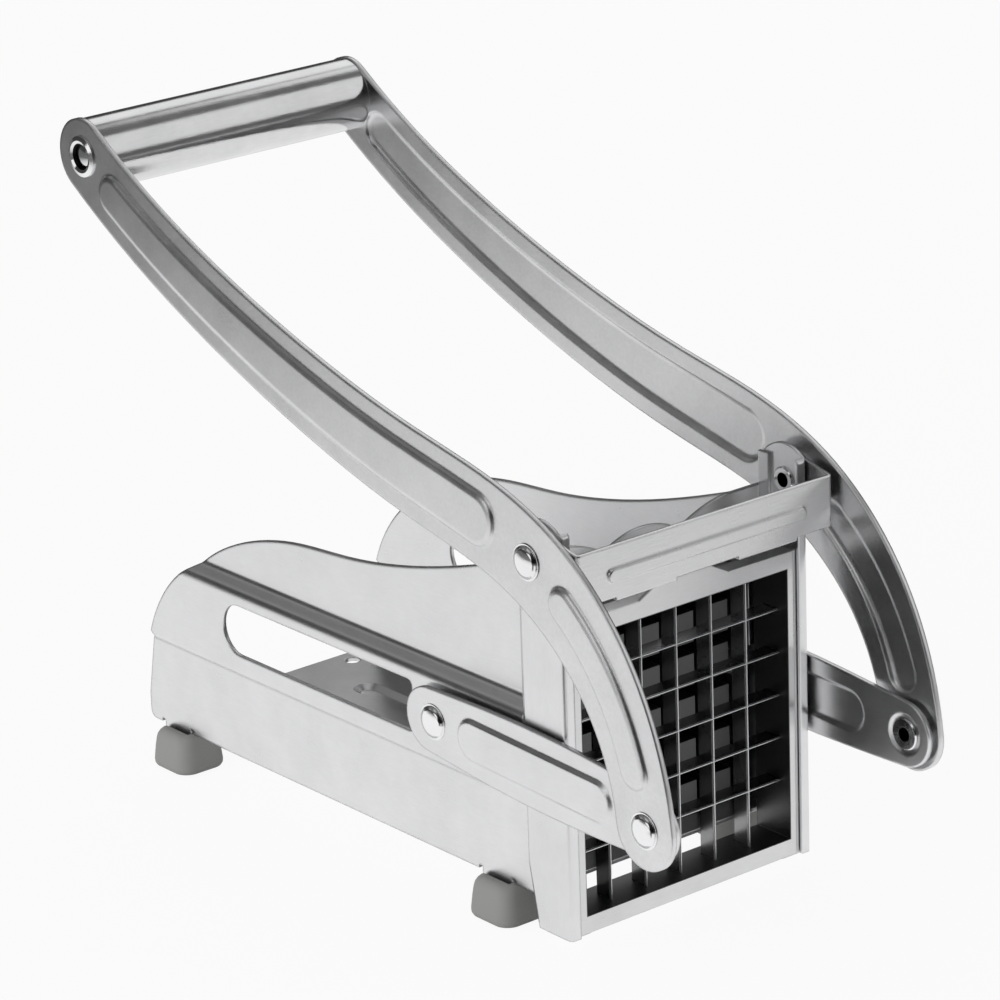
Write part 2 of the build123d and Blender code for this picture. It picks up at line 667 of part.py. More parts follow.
def handle_tube():
    """The grip, a plain tube between the arms."""
    return ring(HANDLE_Y, HANDLE_Z, TUBE_R - TUBE_WALL, TUBE_R, -ARM_IN, ARM_IN)


def tube_plug():
    """A plug in the tube's end whose hollow neck is flared over the arm."""
    inside = ARM_IN - PLUG_LENGTH
    return turned(
        HANDLE_Y, HANDLE_Z,
        Polyline(
            (PLUG_BORE_R, inside), (TUBE_R - TUBE_WALL, inside),
            (TUBE_R - TUBE_WALL, ARM_IN), (PLUG_NECK_R, ARM_IN), (PLUG_NECK_R, ARM_OUT),
            (PLUG_FLARE_R, ARM_OUT), (PLUG_FLARE_R, ARM_OUT + PLUG_FLARE_T),
            (PLUG_NECK_R, ARM_OUT + PLUG_ROLL), (PLUG_BORE_R, ARM_OUT + PLUG_FLARE_T),
            (PLUG_BORE_R, inside),
        ),
    )


def link():
    """The flat link between an arm's foot and the cross rod, with a rib."""
    rod, joint = Vector(ROD_Y, ROD_Z), Vector(JOINT_Y, JOINT_Z)
    reach = (joint - rod).length
    along = (joint - rod).normalized()
    curve = Line(rod - along * LINK_TAIL, joint)

    def half(at):
        return LINK_END_HALF + (LINK_MID_HALF - LINK_END_HALF) * math.sin(math.pi * at)

    plate = sheet(band(curve, 0, 1, half), LINK_IN, LINK_OUT)
    length = reach - LINK_RIB_TO_ROD - LINK_RIB_TO_JOINT
    centre = rod + along * (LINK_RIB_TO_ROD + length / 2)
    tilt = math.degrees(math.atan2(ROD_Z - JOINT_Z, ROD_Y - JOINT_Y))
    outline = SlotCenterToCenter(length, LINK_RIB_HALF * 2, rotation=tilt)
    rib = extrude(
        Plane.YZ.offset(LINK_OUT) * Pos(centre.X, centre.Y) * outline,
        amount=LINK_RIB_RISE, taper=RIB_TAPER,
    )
    plate = press(plate, rib, LINK_GAUGE)
    for y, z, radius in ((ROD_Y, ROD_Z, PIN_R), (JOINT_Y, JOINT_Z, PIN_R + RUN)):
        plate -= bore(y, z, radius, LINK_IN, LINK_OUT)
    dish = turned(JOINT_Y, JOINT_Z, Polyline(
        (0, LINK_IN), (DISH_R, LINK_IN), (DISH_FLOOR_R, LINK_IN + DISH_DEPTH),
        (0, LINK_IN + DISH_DEPTH), (0, LINK_IN),
    ))
    return plate - dish


# ---- latch bail ------------------------------------------------------------
def latch_bail():
    """The strap over the cassette: two ears with tapering cheeks and a ribbed front."""
    rear = PIVOT_Y + BAIL_EAR_R + PAST
    inner_front = BAIL_FRONT + BAIL_GAUGE
    section = make_face(Polyline(
        (0, BAIL_FRONT), (BAIL_OUT, BAIL_FRONT), (BAIL_OUT, rear), (BAIL_IN, rear),
        (BAIL_IN, inner_front), (0, inner_front), (0, BAIL_FRONT),
    ))
    section = bent(section, (BAIL_IN, inner_front), (BAIL_OUT, BAIL_FRONT), BAIL_GAUGE)
    strip = extrude(Plane.XY.offset(BAIL_LOW) * section, amount=PIVOT_Z + BAIL_EAR_R - BAIL_LOW)
    ear = Pos(PIVOT_Y, PIVOT_Z) * Circle(BAIL_EAR_R)
    edge = Line((BAIL_FRONT, BAIL_LOW), (BAIL_FRONT, BAIL_LOW + BAIL_HEIGHT))
    half = strip & sheet(make_hull([*ear.edges(), *edge.edges()]), -PAST, BAIL_OUT + PAST)
    half -= bore(PIVOT_Y, PIVOT_Z, PIN_R + RUN, BAIL_IN, BAIL_OUT)
    half += box(
        BAIL_LIP_X, (BAIL_FRONT, inner_front), (BAIL_LOW - BAIL_GAUGE, BAIL_LOW + BAIL_GAUGE)
    )
    half += box(
        BAIL_LIP_X, (BAIL_FRONT, BAIL_FRONT + BAIL_LIP), (BAIL_LOW - BAIL_GAUGE, BAIL_LOW)
    )
    bail = half + mirror(half, about=Plane.YZ)
    middle = BAIL_LOW + BAIL_HEIGHT / 2 - BAIL_RIB_DROP
    rib_face = Plane.XZ.offset(-BAIL_FRONT) * Pos(0, middle) * SlotOverall(
        2 * BAIL_RIB_X, 2 * BAIL_RIB_HALF
    )
    rib = extrude(rib_face, amount=BAIL_RIB_RISE, taper=BAIL_RIB_TAPER)
    return bail + rib - Pos(0, BAIL_GAUGE, 0) * rib


# ---- pusher ----------------------------------------------------------------
def finger_places():
    """Centres of the fingers, one behind each cell: (x, z)."""
    columns = [(i + 0.5 - CELLS / 2) * PITCH for i in range(CELLS)]
    rows = [LOW_BLADE_Z + (i - 0.5) * PITCH - FINGER_DROP for i in range(CELLS)]
    return [(x, z) for x in columns for z in rows]


def finger_block():
    """The moulded pusher: a plate with one square finger for each cell."""
    places = finger_places()
    low = places[0][1] - FINGER_H / 2
    high = places[-1][1] + FINGER_H / 2
    back = TIP_Y + FINGER_L
    half = RING_IN - BLOCK_INSET
    block = box((-half, half), (back, back + BLOCK_T), (low, high + BLOCK_RISE))
    for x, z in places:
        root = Plane.XZ.offset(-back) * Pos(x, z) * Rectangle(FINGER_W, FINGER_H)
        block += extrude(root, amount=FINGER_L, taper=FINGER_DRAFT)
    for x, z in screw_places():
        hole = Plane.XZ.offset(-back - BLOCK_T) * Pos(x, z) * Circle(SCREW_R)
        block -= extrude(hole, amount=SCREW_DEEP)
    return block


def screw_places():
    """Where the screws hold the block on the carriage: (x, z)."""
    return [(side * SCREW_X, z) for side in (-1, 1) for z in SCREW_Z]


def web_y():
    """The carriage web's span along y, against the block's back."""
    front = TIP_Y + FINGER_L + BLOCK_T
    return front, front + CARRIAGE_GAUGE


def carriage():
    """A bent sheet: web on the block's back, cheeks that run inside the walls."""
    front, rear = web_y()
    outer = SIDE_IN - 2 * GAP
    web = box((-outer, outer), (front, rear), (CARRIAGE_LOW, CARRIAGE_TOP))
    web += box((-CARRIAGE_NECK, CARRIAGE_NECK), (front, rear), (CARRIAGE_TOP, CARRIAGE_NECK_TOP))
    for side in (-1, 1):
        span = sorted((side * (outer - CARRIAGE_GAUGE), side * outer))
        web += box(span, (front, front + CARRIAGE_LONG), (CARRIAGE_LOW, CARRIAGE_TOP))
    web -= bore(ROD_Y, ROD_Z, ROD_R, -outer, outer)
    for x, z in screw_places():
        hole = Plane.XZ.offset(-rear - PAST) * Pos(x, z) * Circle(SCREW_R)
        web -= extrude(hole, amount=CARRIAGE_GAUGE + 2 * PAST)
    return web


def block_screw(x, z):
    """A pan-head screw through the web into the block."""
    rear = web_y()[1]
    head = extrude(Plane.XZ.offset(-rear - SCREW_HEAD_T) * Pos(x, z) * Circle(SCREW_HEAD_R),
                   amount=SCREW_HEAD_T)
    shank = extrude(Plane.XZ.offset(-rear) * Pos(x, z) * Circle(SCREW_R - RUN),
                    amount=CARRIAGE_GAUGE + SCREW_DEEP - SCREW_SHORT)
    return head + shank


def cross_rod():
    """The rod through both slots; it ends just inside the links."""
    reach = LINK_IN - GAP
    return sheet(Pos(ROD_Y, ROD_Z) * Circle(ROD_R), -reach, reach)


def build():
    """Writes every node."""
    save_pair("side_plate", side_plate())
    save_pair("column", column())
    save("floor_plate", floor_plate())
    save("hood", hood())
    for place, y in zip(("front", "rear"), FOOT_Y):
        save_pair(f"foot_{place}", foot(y))
    save("cassette_frame", cassette_frame())
    save("vertical_blades", *vertical_blades())
    save("horizontal_blades", *horizontal_blades())
    rest = cassette_rest()
    save("cassette_rests", rest, mirror(rest, about=Plane.YZ))
    pivot_rivet = rivet(
        PIVOT_Y, PIVOT_Z, SIDE_OUT, ARM_OUT + FACE_GAP, PIVOT_TAIL_R, PIVOT_TAIL_T
    )
    save("pivot_rivets", pivot_rivet, mirror(pivot_rivet, about=Plane.YZ))
    washer = ring(PIVOT_Y, PIVOT_Z, PIN_R + RUN, NYLON_R, COLUMN_OUT, COLUMN_OUT + NYLON_T)
    save("pivot_washers", washer, mirror(washer, about=Plane.YZ))
    spacer = ring(
        PIVOT_Y, PIVOT_Z, PIN_R + RUN, SPACER_R, BAIL_OUT + FACE_GAP, ARM_IN - FACE_GAP
    )
    save("pivot_spacers", spacer, mirror(spacer, about=Plane.YZ))

    save_pair("arm", arm())
    save("handle_tube", handle_tube())
    plug = tube_plug()
    save("tube_plugs", plug, mirror(plug, about=Plane.YZ))
    tail_seat = LINK_IN + DISH_DEPTH - FACE_GAP
    joint_rivet = rivet(
        JOINT_Y, JOINT_Z, tail_seat, ARM_OUT, JOINT_TAIL_R,
        tail_seat - LINK_IN + JOINT_TAIL_PROUD,
    )
    save("joint_rivets", joint_rivet, mirror(joint_rivet, about=Plane.YZ))
    joint_washer = ring(JOINT_Y, JOINT_Z, PIN_R, SPACER_R, LINK_OUT + FACE_GAP, ARM_IN)
    save("joint_washers", joint_washer, mirror(joint_washer, about=Plane.YZ))

    save_pair("link", link())
    rod_rivet = rivet(ROD_Y, ROD_Z, LINK_IN, LINK_OUT)
    save("rod_rivets", rod_rivet, mirror(rod_rivet, about=Plane.YZ))

    save("latch_bail", latch_bail())

    save("finger_block", finger_block())
    save("carriage", carriage())
    save("block_screws", *[block_screw(x, z) for x, z in screw_places()])
    save("cross_rod", cross_rod())
    collar = ring(ROD_Y, ROD_Z, ROD_R, COLLAR_R, SIDE_OUT + GAP, SIDE_OUT + GAP + COLLAR_T)
    save("rod_collars", collar, mirror(collar, about=Plane.YZ))


build()
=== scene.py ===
"""Looks of a lever french fry cutter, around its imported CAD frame. Metres, +Z up."""
import math

import bpy
from mathutils import Matrix, Vector


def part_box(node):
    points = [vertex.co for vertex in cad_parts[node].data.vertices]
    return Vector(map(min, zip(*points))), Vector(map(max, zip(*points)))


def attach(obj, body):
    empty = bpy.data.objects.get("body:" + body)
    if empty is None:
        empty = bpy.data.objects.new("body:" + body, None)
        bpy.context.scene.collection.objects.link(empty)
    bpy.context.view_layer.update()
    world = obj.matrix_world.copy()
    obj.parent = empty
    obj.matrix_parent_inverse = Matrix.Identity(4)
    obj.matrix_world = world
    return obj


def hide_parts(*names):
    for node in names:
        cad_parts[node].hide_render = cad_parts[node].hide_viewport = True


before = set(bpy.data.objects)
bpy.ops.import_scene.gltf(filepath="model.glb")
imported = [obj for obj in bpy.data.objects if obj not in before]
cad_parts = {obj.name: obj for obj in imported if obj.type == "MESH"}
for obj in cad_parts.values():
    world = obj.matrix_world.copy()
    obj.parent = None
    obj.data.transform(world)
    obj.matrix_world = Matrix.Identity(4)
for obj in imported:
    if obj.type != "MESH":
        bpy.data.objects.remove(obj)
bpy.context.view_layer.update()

# ---- camera ----------------------------------------------------------------
CAMERA_AT = (-0.804106, -0.997344, 0.554663)
AZIMUTH = -39.0094
ELEVATION = 19.5638
ROLL = -2.0250
SENSOR = 36.0
LENS = 170.177
CLIP_END = 50.0

# ---- light -----------------------------------------------------------------
WHITE = (1.0, 1.0, 1.0, 1.0)
WORLD_LIGHT = 0.36
FLOOR_HALF = 6.0
FLOOR_DROP = 0.0005
FLOOR_GREY = (0.80, 0.80, 0.80, 1.0)
FLOOR_GLOW = 0.93
# area lights: name, place, size and power; all aim at one point
LIGHT_AIM = (0.0, 0.0, 0.1)
LIGHTS = (
    ("key", (-1.3, 0.2, 0.45), (1.2, 0.8), 9.0),
    ("fill", (0.3, -1.2, 0.9), (1.0, 1.0), 1.5),
    ("back", (0.9, 0.9, 1.0), (1.0, 1.0), 3.0),
)

# ---- what metal mirrors ----------------------------------------------------
# the table fades to TABLE_DIM between these distances from its middle
TABLE_NEAR = 0.32
TABLE_FAR = 0.80
TABLE_DIM = 0.12
# the room turns from dark to grey between these two elevations
ROOM_DARK = 0.05
ROOM_GREY = 0.16
ROOM_RISE = (20.0, 38.0)
# round soft boxes in the room: azimuth from +X, elevation, radius, edge, strength
SOFT_BOXES = (
    (170.0, 8.0, 17.0, 3.0, 1.0),
    (-172.0, 30.0, 15.0, 3.0, 1.0),
    (114.0, 38.0, 10.0, 5.0, 0.34),
    (36.0, 34.0, 18.0, 3.0, 1.0),
    (8.0, 44.0, 12.0, 3.0, 1.0),
    (-42.0, 22.0, 26.0, 3.0, 0.85),
    (0.0, 90.0, 24.0, 8.0, 0.55),
)
# a dark side, fixed in the room: its azimuth, its share of the light, and how many
# degrees from the azimuth it ends and is full, for the room and for the table
DARK_SIDE = -141.0
DARK_SHARE = 0.12
DARK_ROOM = (78.0, 40.0)
DARK_TABLE = (24.0, 10.0)
# distances from the table's middle where its dark side begins and is full
DARK_FROM = (0.17, 0.25)

# ---- places on the cutter --------------------------------------------------
SKIN = 0.0002  # takes a patch just past the faces it paints
BLUR = 0.00002  # half the width of a patch's edge
FRONT_NORMAL = (-0.8, 0.05)  # y of the normals that look to the front, and half its blur
BLADES = 5  # each way
BLADE_PITCH = 0.013
BLADE_FRONT = -0.08015
LOW_BLADE_Z = 0.0253
# depth behind the blades' fronts of their painted highlight
EDGE_HIGHLIGHT_DEPTH = 0.0009
# the cassette's opening: half its width, and its lower and upper edges
RING_IN = 0.0383
RING_IN_LOW = 0.0082
RING_IN_TOP = 0.0903
# the joint, rod and pivot rivets: axis (y, z), and where their domes begin in x
RIVET_AXES = ((-0.12265, 0.0497), (-0.02985, 0.0530), (-0.07695, 0.1139))
DOME_RIMS = (0.05085, 0.0480, 0.05095)
DOME_R = 0.0047
DOME_TILT = 79.0  # slope per metre from the axis, as on the CAD dome
DOME_ROUND = (0.0034, 0.0044)  # radii between which the slope grows by DOME_STEEP
DOME_STEEP = 1.25
DOME_LEAST = 0.000002  # keeps the slope finite on the axis
# the hollows of the rivets' tails, painted dark as shade: radius, and the x that they end within
HOLLOW_R = 0.00215
HOLLOW_END = 0.0482
# the plugs' bores in the grip, whose walls are painted dark as shade: axis (y, z), radii round
# the wall, and x of the mouth
GRIP_AXIS = (0.12265, 0.1885)
PLUG_BORE = (0.0036, 0.0040)
PLUG_MOUTH = 0.0511

# ---- small pieces' shapes --------------------------------------------------
SHARP = math.radians(50)
PLUG_CORE_TOP = 0.0505
PLUG_CORE = (  # radius, depth under the top
    (0.0, 0.0), (0.0010, 0.00006), (0.0018, 0.00019), (0.0026, 0.00040),
    (0.0032, 0.00061), (0.00355, 0.00078), (0.00355, 0.0035), (0.0, 0.0035),
)
EDGE_HALF = 0.00018
EDGE_SECTION = (  # share of EDGE_HALF, depth behind the front
    (-1.0, 0.0006), (-1.0, 0.00012), (-0.5, 0.0), (0.5, 0.0), (1.0, 0.00012), (1.0, 0.0006),
)
FOOT_SECTIONS = (  # height, how far the side lies in, corner radius
    (0.0, 0.0011, 0.0042), (0.0003, 0.0005, 0.0045), (0.0010, 0.0001, 0.0047),
    (0.0020, 0.0, 0.0048), (0.0060, 0.0004, 0.0046), (0.0088, 0.0008, 0.0044),
    (0.0099, 0.0011, 0.0042), (0.0108, 0.0016, 0.0040), (0.0115, 0.0023, 0.0037),
    (0.0119, 0.0031, 0.0033), (0.0120, 0.0038, 0.0030),
)
SLIT_X = (0.04295, 0.0455)
SLIT_HALF = 0.0065
SLIT_BACK = 0.0014  # how far the slit's middle lies behind the foot's
SLIT_Z = 0.006  # the slit's floor

# ---- finishes --------------------------------------------------------------
# noise: cycles per metre of the clouds, levels of detail, and the parts of its range
# that are spread over a finish's tones and roughness
CLOUD_SCALE = 60.0
DETAIL = 3.0
PLASTIC_DETAIL = 2.0
NOISE_ROUGHNESS = 0.6
TONE_RANGE = (0.35, 0.65)
ROUGH_RANGE = (0.3, 0.7)
RELIEF = 0.00002  # depth of the grain
BEVEL_SAMPLES = 8
STEEL_TINT = (1.0, 1.003, 1.012)  # a touch cool
PLASTIC_GRAIN = 900.0
PLASTIC_EDGE = 0.0005
SATIN = (0.27, 0.33)
SHEET_GRAIN = 1600
# stretch of a grain that runs along each axis
ALONG_X = (0.15, 1.0, 1.0)
ALONG_Y = (1.0, 0.15, 1.0)
ALONG_Z = (1.0, 1.0, 0.15)


def place_camera():
    """The camera stands where the photograph was taken from."""
    data = bpy.data.cameras.new("camera")
    data.sensor_width = SENSOR
    data.sensor_fit = "HORIZONTAL"
    data.lens = LENS
    data.clip_end = CLIP_END
    camera = bpy.data.objects.new("camera", data)
    bpy.context.scene.collection.objects.link(camera)
    turn = Matrix.Rotation(math.radians(AZIMUTH), 4, "Z")
    tilt = Matrix.Rotation(math.radians(90 - ELEVATION), 4, "X")
    roll = Matrix.Rotation(math.radians(ROLL), 4, "Z")
    camera.matrix_world = Matrix.Translation(CAMERA_AT) @ turn @ tilt @ roll
    bpy.context.scene.camera = camera


# ---- node helpers ----------------------------------------------------------
class Shader:
    """A material or world whose nodes are made and joined by short calls."""

    def __init__(self, owner):
        owner.use_nodes = True
        self.tree = owner.node_tree
        self.tree.nodes.clear()

    def node(self, kind, **values):
        """A node; in_NAME values go to its inputs and the others are its settings."""
        made = self.tree.nodes.new("ShaderNode" + kind)
        for name, value in values.items():
            if not name.startswith("in_"):
                setattr(made, name, value)
        for name, value in values.items():
            if name.startswith("in_"):
                self.put(made, name[3:].replace("_", " "), value)
        return made

    def put(self, node, name, value):
        """Joins a node or socket to an input, or sets the input's own value."""
        socket = node.inputs[int(name)] if name.isdigit() else self.find(node, name)
        if isinstance(value, bpy.types.NodeSocket):
            self.tree.links.new(value, socket)
        elif isinstance(value, bpy.types.Node):
            self.tree.links.new(value.outputs[0], socket)
        else:
            socket.default_value = value

    @staticmethod
    def find(node, name):
        return next(s for s in node.inputs if s.name.lower() == name.lower())

    def math(self, operation, first, second=0.0):
        return self.node("Math", operation=operation, in_0=first, in_1=second).outputs[0]

    def both(self, first, second):
        return self.math("MULTIPLY", first, second)

    def mix(self, factor, first, second):
        """first where the factor is 0, second where it is 1; numbers."""
        return self.node(
            "Mix", data_type="FLOAT", in_0=factor, in_2=first, in_3=second,
        ).outputs[0]

    def mix_vectors(self, factor, first, second):
        return self.node(
            "Mix", data_type="VECTOR", in_0=factor, in_4=first, in_5=second,
        ).outputs[1]

    def mix_colours(self, factor, first, second):
        """As mix, for colours: three numbers or a socket each."""
        colours = {
            name: value if isinstance(value, bpy.types.NodeSocket) else (*value, 1.0)
            for name, value in (("in_6", first), ("in_7", second))
        }
        return self.node("Mix", data_type="RGBA", in_0=factor, **colours).outputs[2]

    def ramp(self, value, low, high, start=0.0, end=1.0, smooth=False):
        """value from start..end mapped to low..high."""
        kind = "SMOOTHSTEP" if smooth else "LINEAR"
        return self.node(
            "MapRange", interpolation_type=kind, in_Value=value, in_From_Min=start,
            in_From_Max=end, in_To_Min=low, in_To_Max=high,
        ).outputs[0]

    def below(self, value, limit, soft=BLUR):
        """1 where a value is under a limit, 0 over it."""
        return self.ramp(value, 1.0, 0.0, limit - soft, limit + soft)

    def over(self, value, limit):
        return self.math("SUBTRACT", 1.0, self.below(value, limit))

    def place(self):
        """The frame's x, y and z in metres."""
        where = self.node("TexCoord").outputs["Object"]
        return self.node("SeparateXYZ", in_Vector=where).outputs[:3]

    def from_axis(self, y, z, axis):
        """How far a point is from an axis along X: in y, in z and straight."""
        off_y, off_z = self.math("SUBTRACT", y, axis[0]), self.math("SUBTRACT", z, axis[1])
        squares = self.math("ADD", self.both(off_y, off_y), self.both(off_z, off_z))
        return off_y, off_z, self.math("SQRT", squares)

    def noise(self, scale, detail, stretch=(1, 1, 1)):
        """Noise in the frame's metres; scale is cycles per metre along each axis."""
        where = self.node("TexCoord").outputs["Object"]
        size = tuple(scale * share for share in stretch)
        mapped = self.node("Mapping", in_Vector=where, in_Scale=size)
        return self.node(
            "TexNoise", in_Vector=mapped, in_Scale=1.0, in_Detail=detail,
            in_Roughness=NOISE_ROUGHNESS,
        ).outputs["Fac"]

    def toward(self, direction, azimuth, elevation):
        """The cosine between a direction and an azimuth from +X with an elevation."""
        a, e = math.radians(azimuth), math.radians(elevation)
        aim = (math.cos(a) * math.cos(e), math.sin(a) * math.cos(e), math.sin(e))
        near = self.node("VectorMath", operation="DOT_PRODUCT", in_0=direction, in_1=aim)
        return near.outputs["Value"]


def new_material(name):
    material = bpy.data.materials.new(name)
    return material, Shader(material)


# ---- patches of painted shade and highlight --------------------------------
def painted_ring_shade(s):
    """The cassette's faces round its opening, painted dark as shade."""
    x, _, z = s.place()
    across = s.below(s.math("ABSOLUTE", x), RING_IN + SKIN)
    height = s.both(s.below(z, RING_IN_TOP + SKIN), s.over(z, RING_IN_LOW - SKIN))
    return s.both(across, height)


def painted_edge_highlight(s):
    """The blades' front edges, painted light as a highlight."""
    return s.below(s.place()[1], BLADE_FRONT + EDGE_HIGHLIGHT_DEPTH)


def painted_hollow_shade(s):
    """The open ends of the rivets' rolled tails and the walls of the plugs' bores, painted near
    black as shade.
    """
    x, y, z = s.place()
    out = s.math("ABSOLUTE", x)
    inside = 0.0
    for axis in RIVET_AXES:
        away = s.from_axis(y, z, axis)[2]
        inside = s.math("MAXIMUM", inside, s.below(away, HOLLOW_R))
    hollow = s.both(inside, s.below(out, HOLLOW_END))
    away = s.from_axis(y, z, GRIP_AXIS)[2]
    wall = s.math("SUBTRACT", s.below(away, PLUG_BORE[1]), s.below(away, PLUG_BORE[0]))
    return s.math("MAXIMUM", hollow, s.both(wall, s.below(out, PLUG_MOUTH)))


def painted_front_light(s):
    """Faces that look to the front, painted lighter as light falling on them."""
    normal = s.node("TexCoord").outputs["Normal"]
    return s.below(s.node("SeparateXYZ", in_Vector=normal).outputs["Y"], *FRONT_NORMAL)


def dome_normal(s, normal):
    """Normals of the rivets' domes: even at the mesh's poles and steeper at the rims."""
    x, y, z = s.place()
    side, out = s.math("SIGN", x), s.math("ABSOLUTE", x)
    for axis, rim in zip(RIVET_AXES, DOME_RIMS):
        off_y, off_z, away = s.from_axis(y, z, axis)
        away = s.math("MAXIMUM", away, DOME_LEAST)
        steep = s.ramp(away, 0.0, DOME_STEEP, *DOME_ROUND, smooth=True)
        slope = s.math("ADD", DOME_TILT, s.math("DIVIDE", steep, away))
        slope_y, slope_z = s.both(off_y, slope), s.both(off_z, slope)
        dome = s.node("CombineXYZ", in_X=side, in_Y=slope_y, in_Z=slope_z)
        dome = s.node("VectorMath", operation="NORMALIZE", in_0=dome)
        turned_dome = s.node(
            "VectorTransform", vector_type="NORMAL", convert_from="OBJECT",
            convert_to="WORLD", in_Vector=dome,
        )
        share = s.both(s.below(away, DOME_R), s.over(out, rim))
        normal = s.mix_vectors(share, normal, turned_dome)
    return normal


# ---- materials -------------------------------------------------------------
def grey(level):
    return tuple(level * tint for tint in STEEL_TINT)


def bumpy(s, height, normal):
    """The normal with a fine grain on it."""
    return s.node(
        "Bump", in_Strength=1.0, in_Distance=RELIEF, in_Height=height, in_Normal=normal,
    )


def eased(s, radius):
    """The normal with the mesh's edges eased over a radius."""
    return s.node("Bevel", samples=BEVEL_SAMPLES, in_Radius=radius).outputs[0]


def steel(name, tones, stretch=ALONG_X, rough=SATIN, grain=SHEET_GRAIN, edge=0.0004,
          lines=0.25, patch=None, patch_tone=0.2, patch_rough=0.4, reshape=None):
    """Satin stainless: soft clouds, a fine grain along the stretch, and eased edges."""
    material, s = new_material(name)
    cloud = s.noise(CLOUD_SCALE, DETAIL)
    fine = s.noise(grain, DETAIL, stretch)
    tone = s.math("ADD", s.both(cloud, 1.0 - lines), s.both(fine, lines))
    colour = s.mix_colours(s.ramp(tone, 0.0, 1.0, *TONE_RANGE), *map(grey, tones))
    roughness = s.ramp(cloud, *rough, *ROUGH_RANGE)
    # the patch paints shade or a highlight into the colour where its mask is 1
    if patch:
        share = patch(s)
        colour = s.mix_colours(share, colour, grey(patch_tone))
        roughness = s.mix(share, roughness, patch_rough)
    normal = eased(s, edge)
    if reshape:
        normal = reshape(s, normal)
    surface = s.node(
        "BsdfPrincipled", in_Base_Color=colour, in_Metallic=1.0, in_Roughness=roughness,
        in_Normal=bumpy(s, fine, normal),
    )
    s.node("OutputMaterial", in_Surface=surface)
    return material


def plastic(name, dark, light, rough, patch=None, patch_tone=0.1):
    """Moulded plastic or rubber with a fine sparked texture."""
    material, s = new_material(name)
    cloud = s.noise(CLOUD_SCALE, DETAIL)
    fine = s.noise(PLASTIC_GRAIN, PLASTIC_DETAIL)
    colour = s.mix_colours(s.ramp(cloud, 0.0, 1.0, *TONE_RANGE), dark, light)
    # the patch paints light into the colour where its mask is 1
    if patch:
        colour = s.mix_colours(patch(s), colour, grey(patch_tone))
    roughness = s.ramp(fine, *rough, *ROUGH_RANGE)
    surface = s.node(
        "BsdfPrincipled", in_Base_Color=colour, in_Roughness=roughness,
        in_Normal=bumpy(s, fine, eased(s, PLASTIC_EDGE)),
    )
    s.node("OutputMaterial", in_Surface=surface)
    return material


def finishes():
    """Every finish, by the record's slot."""
    made = (
        steel("side_sheet", (0.72, 0.80), ALONG_Y, edge=0.0013),
        steel("column_sheet", (0.72, 0.80), ALONG_Z, edge=0.0009),
        steel("floor_sheet", (0.60, 0.70), ALONG_Y),
        steel("hood_sheet", (0.60, 0.68), edge=0.0006),
        # the cassette's inside faces round the opening get a painted shade, tone 0.12
        steel("cassette_sheet", (0.64, 0.72), patch=painted_ring_shade, patch_tone=0.12),
        # the blades' front edges get a painted highlight: a near-white tone, with rougher steel
        # there
        steel("blade_steel", (0.26, 0.32), rough=(0.2, 0.3), grain=900, edge=0.00005,
              patch=painted_edge_highlight, patch_tone=0.95, patch_rough=0.5),
        steel("arm_sheet", (0.66, 0.78), (1.0, 0.6, 0.6), grain=1400, lines=0.3, edge=0.0011),
        steel("link_sheet", (0.72, 0.80), ALONG_Y, edge=0.0010),
        steel("bail_sheet", (0.66, 0.74), rough=(0.24, 0.30), edge=0.0007),
        steel("carriage_sheet", (0.5, 0.6)),
        steel("tube_steel", (0.66, 0.76), rough=(0.12, 0.18)),
        # the rivets' tail hollows and the plugs' bore walls get a painted shade, near black
        steel("rivet_steel", (0.84, 0.90), (1, 1, 1), rough=(0.08, 0.13), grain=900,
              edge=0.00015, patch=painted_hollow_shade, patch_tone=0.01, reshape=dome_normal),
        # the fingers' front faces get a painted lighter tone, as lit faces
        plastic("black_plastic", (0.010, 0.010, 0.011), (0.018, 0.018, 0.02), (0.4, 0.55),
                patch=painted_front_light, patch_tone=0.32),
        plastic("black_nylon", (0.010, 0.010, 0.011), (0.018, 0.018, 0.019), (0.35, 0.5)),
        plastic("grey_rubber", (0.60, 0.60, 0.61), (0.66, 0.66, 0.67), (0.55, 0.75)),
    )
    return {slot_name(material): material for material in made}


def slot_name(material):
    """A material's name without the number that Blender adds to a name in use."""
    return material.name.split(".")[0]


def dress_nodes():
    """Gives every CAD node the finish of its slot."""
    made = finishes()
    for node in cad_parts.values():
        for slot in node.material_slots:
            slot.material = made[slot_name(slot.material)]


# ---- small pieces ----------------------------------------------------------
def add_piece(name, vertices, faces, body, slot):
    """A smooth mesh piece that rides on a body, in the frame's plain material of its slot."""
    mesh = bpy.data.meshes.new(name)
    mesh.from_pydata(vertices, [], faces)
    mesh.shade_smooth()
    mesh.set_sharp_from_angle(angle=SHARP)
    piece = bpy.data.objects.new(name, mesh)
    bpy.context.scene.collection.objects.link(piece)
    mesh.materials.append(bpy.data.materials[slot])
    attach(piece, body)
    return piece


def turned(profile, axis, side, turns=48):
    """A profile of (radius, x) turned about an axis along X; its ends are on the axis."""
    (_, first), *rings, (_, last) = profile
    vertices = [(side * first, *axis)]
    for radius, x in rings:
        for step in range(turns):
            angle = math.tau * step / turns
            y, z = axis[0] + radius * math.cos(angle), axis[1] + radius * math.sin(angle)
            vertices.append((side * x, y, z))
    vertices.append((side * last, *axis))
    end = len(vertices) - 1
    faces = []
    for step in range(turns):
        after = (step + 1) % turns
        faces.append((0, 1 + after, 1 + step))
        for ring in range(len(rings) - 1):
            low, high = 1 + ring * turns, 1 + (ring + 1) * turns
            faces.append((low + step, low + after, high + after, high + step))
        low = 1 + (len(rings) - 1) * turns
        faces.append((end, low + step, low + after))
    if side > 0:
        faces = [tuple(reversed(face)) for face in faces]
    return vertices, faces


